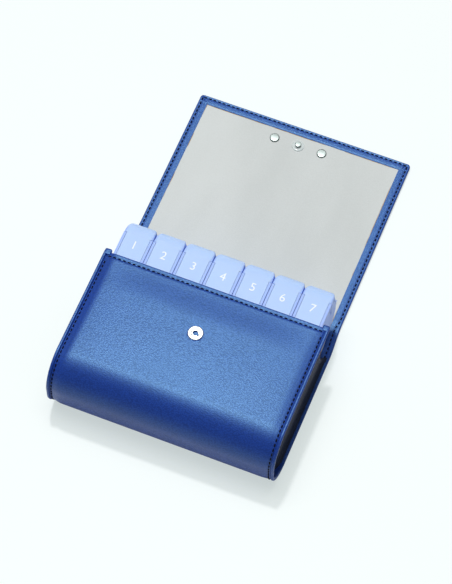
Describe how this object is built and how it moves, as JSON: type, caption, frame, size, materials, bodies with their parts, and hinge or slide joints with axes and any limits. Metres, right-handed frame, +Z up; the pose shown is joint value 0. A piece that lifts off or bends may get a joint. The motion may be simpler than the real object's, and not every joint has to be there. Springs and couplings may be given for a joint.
{
  "type": "pill organizer",
  "caption": "Soft wallet with a press-stud flap that holds a row of translucent day boxes, each with dose rooms under a sliding lid.",
  "frame": {"origin": "on the table under the middle of the open wallet", "axes": "+Z up from the table, +Y from the round bottom of the pocket towards the open flap, +X to the right seen from the pocket end"},
  "size_m": [0.1504, 0.251, 0.0508],
  "materials": {
    "leatherette": "pebbled blue leatherette, satin",
    "card": "grey-brown card, matt",
    "lining": "light grey suede-like lining, matt",
    "plated_metal": "nickel plate",
    "clear_plastic": "clear, glossy",
    "tray_plastic": "translucent blue, glossy",
    "lid_plastic": "translucent pale blue, glossy"
  },
  "bodies": {
    "case": {"case_skin": "leatherette", "case_stiffener": "card", "case_lining": "lining", "side_gusset_left": "leatherette", "side_gusset_right": "leatherette", "snap_socket": "plated_metal", "snap_spring": "plated_metal", "snap_prongs": "plated_metal"},
    "flap_spine": {"spine_skin": "leatherette", "spine_board": "card", "spine_lining": "lining"},
    "flap_cover": {"flap_skin": "leatherette", "flap_board": "card", "flap_lining": "lining", "stud_washer": "clear_plastic", "stud_post": "plated_metal", "stud_cap": "plated_metal", "rivet_heads": "plated_metal", "rivet_posts": "plated_metal"},
    "box_1": {"day_tray_1": "tray_plastic"},
    "lid_1": {"day_lid_1": "lid_plastic"},
    "box_2": {"day_tray_2": "tray_plastic"},
    "lid_2": {"day_lid_2": "lid_plastic"},
    "box_3": {"day_tray_3": "tray_plastic"},
    "lid_3": {"day_lid_3": "lid_plastic"},
    "box_4": {"day_tray_4": "tray_plastic"},
    "lid_4": {"day_lid_4": "lid_plastic"},
    "box_5": {"day_tray_5": "tray_plastic"},
    "lid_5": {"day_lid_5": "lid_plastic"},
    "box_6": {"day_tray_6": "tray_plastic"},
    "lid_6": {"day_lid_6": "lid_plastic"},
    "box_7": {"day_tray_7": "tray_plastic"},
    "lid_7": {"day_lid_7": "lid_plastic"}
  },
  "joints": [
    {"name": "spine_fold", "type": "hinge", "parent": "case", "child": "flap_spine", "pos_m": [0, -0.00118, 0.0028], "axis": [-1, 0, 0], "range_deg": [-90, 0]},
    {"name": "flap_fold", "type": "hinge", "parent": "flap_spine", "child": "flap_cover", "pos_m": [0, 0.04748, 0.0028], "axis": [-1, 0, 0], "range_deg": [-90, 0]},
    {"name": "box_slide_1", "type": "slide", "parent": "case", "child": "box_1", "axis": [0, 1, 0], "range_m": [0, 0.09]},
    {"name": "lid_slide_1", "type": "slide", "parent": "box_1", "child": "lid_1", "axis": [0, 1, 0], "range_m": [0, 0.087]},
    {"name": "box_slide_2", "type": "slide", "parent": "case", "child": "box_2", "axis": [0, 1, 0], "range_m": [0, 0.09]},
    {"name": "lid_slide_2", "type": "slide", "parent": "box_2", "child": "lid_2", "axis": [0, 1, 0], "range_m": [0, 0.087]},
    {"name": "box_slide_3", "type": "slide", "parent": "case", "child": "box_3", "axis": [0, 1, 0], "range_m": [0, 0.09]},
    {"name": "lid_slide_3", "type": "slide", "parent": "box_3", "child": "lid_3", "axis": [0, 1, 0], "range_m": [0, 0.087]},
    {"name": "box_slide_4", "type": "slide", "parent": "case", "child": "box_4", "axis": [0, 1, 0], "range_m": [0, 0.09]},
    {"name": "lid_slide_4", "type": "slide", "parent": "box_4", "child": "lid_4", "axis": [0, 1, 0], "range_m": [0, 0.087]},
    {"name": "box_slide_5", "type": "slide", "parent": "case", "child": "box_5", "axis": [0, 1, 0], "range_m": [0, 0.09]},
    {"name": "lid_slide_5", "type": "slide", "parent": "box_5", "child": "lid_5", "axis": [0, 1, 0], "range_m": [0, 0.087]},
    {"name": "box_slide_6", "type": "slide", "parent": "case", "child": "box_6", "axis": [0, 1, 0], "range_m": [0, 0.09]},
    {"name": "lid_slide_6", "type": "slide", "parent": "box_6", "child": "lid_6", "axis": [0, 1, 0], "range_m": [0, 0.087]},
    {"name": "box_slide_7", "type": "slide", "parent": "case", "child": "box_7", "axis": [0, 1, 0], "range_m": [0, 0.09]},
    {"name": "lid_slide_7", "type": "slide", "parent": "box_7", "child": "lid_7", "axis": [0, 1, 0], "range_m": [0, 0.087]}
  ],
  "couplings": [
    {"joint": "flap_fold", "follows": "spine_fold", "ratio": 1}
  ]
}
